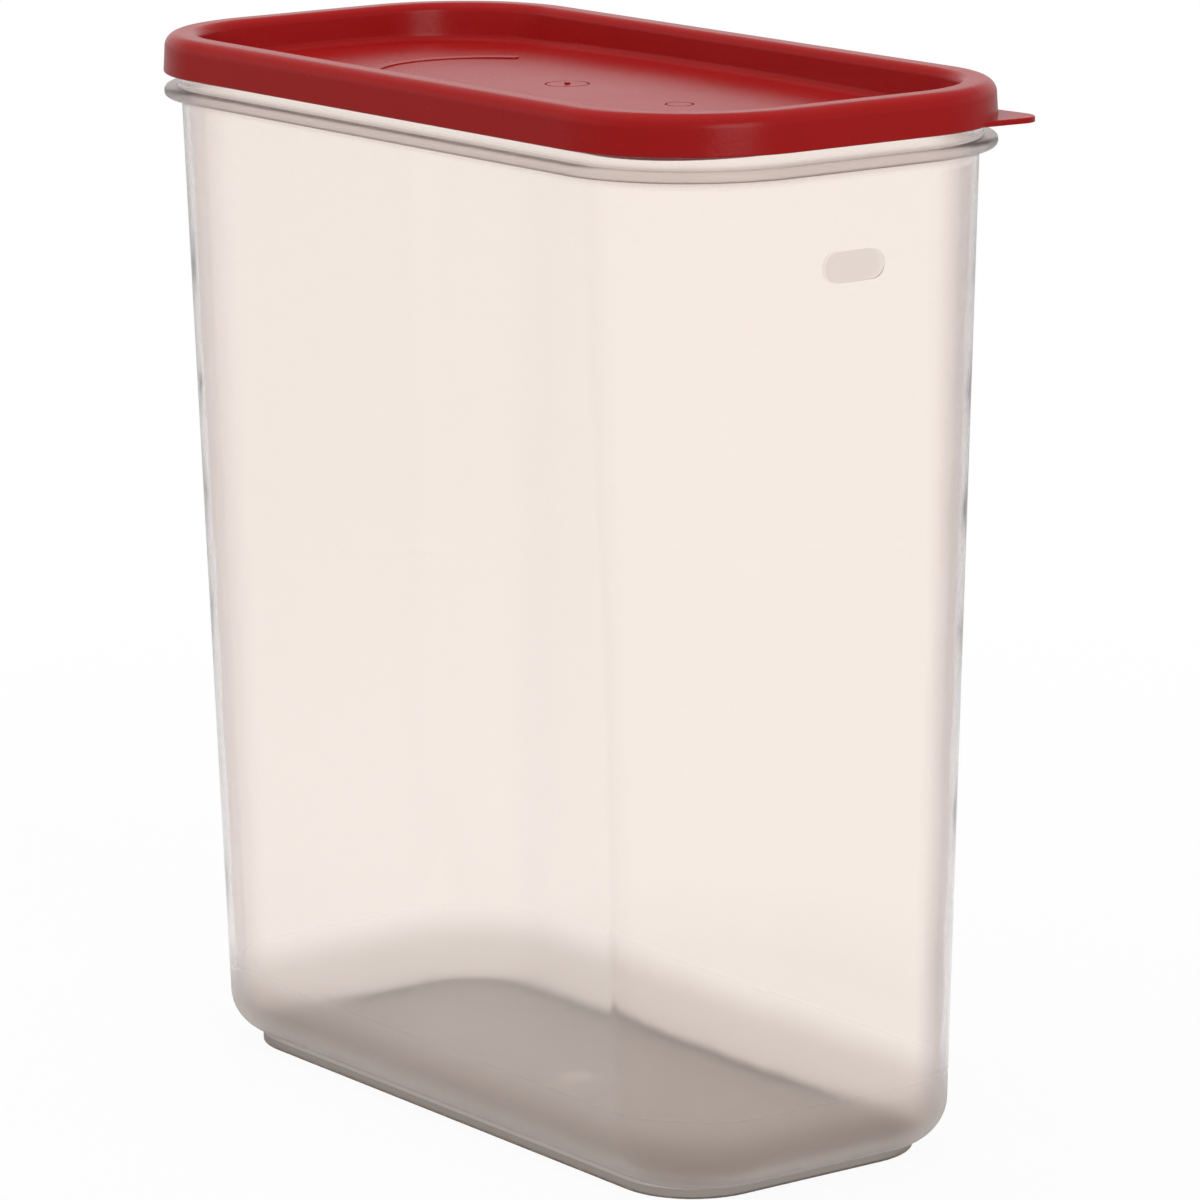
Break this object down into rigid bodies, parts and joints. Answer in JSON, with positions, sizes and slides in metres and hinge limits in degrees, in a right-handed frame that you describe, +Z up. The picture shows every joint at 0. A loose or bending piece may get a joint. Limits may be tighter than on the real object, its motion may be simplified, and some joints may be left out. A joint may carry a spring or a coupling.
{
  "type": "food storage canister",
  "caption": "Tall rounded-rectangular see-through storage canister with tapered walls, a stop bead under the mouth and a push-on lid with a recessed deck and a corner peel tab.",
  "frame": {"origin": "middle of the foot ring's resting plane, under the middle of the canister", "axes": "+Z up, X along the long side, Y along the short side; the peel tab is on the (+X, +Y) corner and the badge pad on the +X side"},
  "size_m": [0.2322, 0.1168, 0.259],
  "materials": {
    "clear_body": "translucent, slightly milky polypropylene with a fine satin skin",
    "red_lid": "satin dark red polyethylene with a fine grain"
  },
  "bodies": {
    "canister": {"container": "clear_body"},
    "cover": {"lid": "red_lid"}
  },
  "joints": [
    {"name": "lid_lift", "type": "slide", "parent": "canister", "child": "cover", "axis": [0, 0, 1], "range_m": [0, 0.12]}
  ]
}
